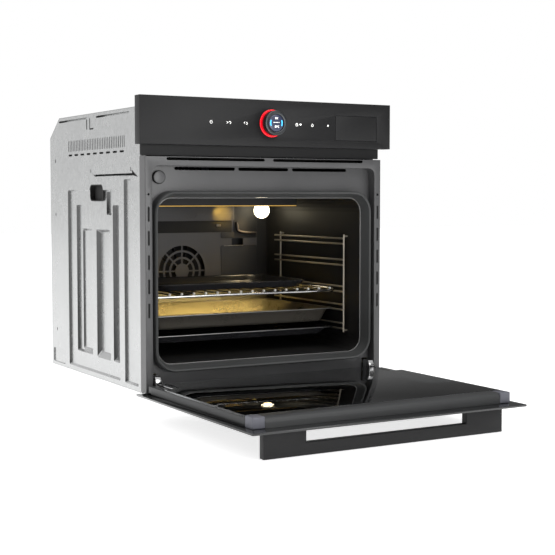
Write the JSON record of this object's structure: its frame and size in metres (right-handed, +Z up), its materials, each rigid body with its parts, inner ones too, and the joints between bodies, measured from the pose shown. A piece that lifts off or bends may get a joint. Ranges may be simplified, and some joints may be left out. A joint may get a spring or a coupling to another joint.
{
  "type": "wall oven",
  "caption": "Built-in wall oven with drop-down glass door, round control knob, side racks, wire shelf and trays, convection fan and water drawer.",
  "frame": {"origin": "on the underside of the casing, on the oven's centre plane, 292 mm behind the face of the control fascia", "axes": "+X to the right of someone facing the oven, +Y into the cabinet, +Z up"},
  "size_m": [0.595, 1.0229, 0.6471],
  "materials": {
    "fascia": "satin charcoal lacquer",
    "black_plastic": "matt",
    "enamel": "grey enamel, low sheen",
    "cavity_enamel": "dark enamel, glossy",
    "galvanised": "plain galvanised sheet",
    "steel": "satin",
    "chrome": "bright",
    "tray_steel": "bright tray steel",
    "dark_tray": "dark enamel, glossy",
    "glass": "grey, glossy",
    "lamp_glass": "frosted, warm",
    "silicone": "matt",
    "wool": "mineral wool",
    "board": "circuit board",
    "red_light": "lit red",
    "display": "lit display",
    "grey_plastic": "matt",
    "clear_plastic": "clear",
    "ceramic": "ceramic"
  },
  "bodies": {
    "oven": {"air_duct": "galvanised", "blower_housing": "galvanised", "blower_motor": "steel", "bottom_heater": "steel", "casing_back": "galvanised", "casing_base": "galvanised", "casing_left": "galvanised", "casing_right": "galvanised", "casing_top": "galvanised", "cavity_muffle": "cavity_enamel", "control_board": "board", "control_fascia": "fascia", "door_seal": "silicone", "fan_baffle": "cavity_enamel", "fan_motor": "steel", "fascia_carrier": "black_plastic", "front_frame": "enamel", "grill_element": "steel", "grill_shield": "cavity_enamel", "hinge_arm_left": "chrome", "hinge_arm_right": "chrome", "insulation_wrap": "wool", "knob_light_ring": "red_light", "lamp_glass": "lamp_glass", "lamp_holder": "ceramic", "power_board": "board", "probe_socket": "enamel", "rack_left": "chrome", "rack_right": "chrome", "ring_heater": "steel", "steam_generator": "steel", "steam_pipe": "steel", "tank_guide": "grey_plastic", "temperature_sensor": "steel", "terminal_block": "black_plastic"},
    "door": {"door_outer_glass": "glass", "door_inner_glass": "glass", "door_middle_glass": "glass", "door_rail_left": "black_plastic", "door_rail_right": "black_plastic", "door_cap_left": "grey_plastic", "door_cap_right": "grey_plastic", "door_top_trim": "black_plastic", "door_bottom_profile": "black_plastic", "door_handle": "fascia", "hinge_case_left": "steel", "hinge_case_right": "steel"},
    "latch_left": {"hinge_latch_left": "chrome"},
    "latch_right": {"hinge_latch_right": "chrome"},
    "shelf": {"wire_shelf": "chrome", "baking_tray": "dark_tray"},
    "deep_tray": {"deep_tray": "tray_steel"},
    "shallow_pan": {"shallow_pan": "dark_tray"},
    "water_drawer": {"water_drawer_front": "fascia", "water_tank": "clear_plastic"},
    "dial": {"dial_display": "display"},
    "dial_ring": {"dial_ring": "black_plastic"},
    "probe_cap": {"probe_cap": "grey_plastic"},
    "fan": {"convection_fan": "steel"},
    "blower": {"blower_wheel": "grey_plastic"}
  },
  "joints": [
    {"name": "door_hinge", "type": "hinge", "parent": "oven", "child": "door", "pos_m": [0, -0.2794, 0.0235], "axis": [1, 0, 0], "range_deg": [-90, 0]},
    {"name": "latch_left_pivot", "type": "hinge", "parent": "door", "child": "latch_left", "pos_m": [-0.257, -0.2959, 0.0207], "axis": [-1, 0, 0], "range_deg": [0, 95]},
    {"name": "latch_right_pivot", "type": "hinge", "parent": "door", "child": "latch_right", "pos_m": [0.257, -0.2959, 0.0207], "axis": [-1, 0, 0], "range_deg": [0, 95]},
    {"name": "shelf_slide", "type": "slide", "parent": "oven", "child": "shelf", "axis": [0, -1, 0], "range_m": [0, 0.3]},
    {"name": "deep_tray_slide", "type": "slide", "parent": "oven", "child": "deep_tray", "axis": [0, -1, 0], "range_m": [0, 0.3]},
    {"name": "shallow_pan_slide", "type": "slide", "parent": "oven", "child": "shallow_pan", "axis": [0, -1, 0], "range_m": [0, 0.3]},
    {"name": "water_drawer_slide", "type": "slide", "parent": "oven", "child": "water_drawer", "axis": [0, -1, 0], "range_m": [0, 0.14]},
    {"name": "dial_press", "type": "slide", "parent": "oven", "child": "dial", "axis": [0, 1, 0], "range_m": [0, 0.0015], "stiffness_N_per_m": 800},
    {"name": "dial_turn", "type": "hinge", "parent": "dial", "child": "dial_ring", "pos_m": [0, -0.3034, 0.547], "axis": [0, 1, 0], "continuous": true},
    {"name": "probe_cap_swivel", "type": "hinge", "parent": "oven", "child": "probe_cap", "pos_m": [-0.242, -0.2608, 0.445], "axis": [0, -1, 0], "range_deg": [0, 84]},
    {"name": "fan_spin", "type": "hinge", "parent": "oven", "child": "fan", "pos_m": [0, 0.161, 0.218], "axis": [0, 1, 0], "continuous": true},
    {"name": "blower_spin", "type": "hinge", "parent": "oven", "child": "blower", "pos_m": [0, 0.134, 0.46], "axis": [0, 0, 1], "continuous": true}
  ]
}
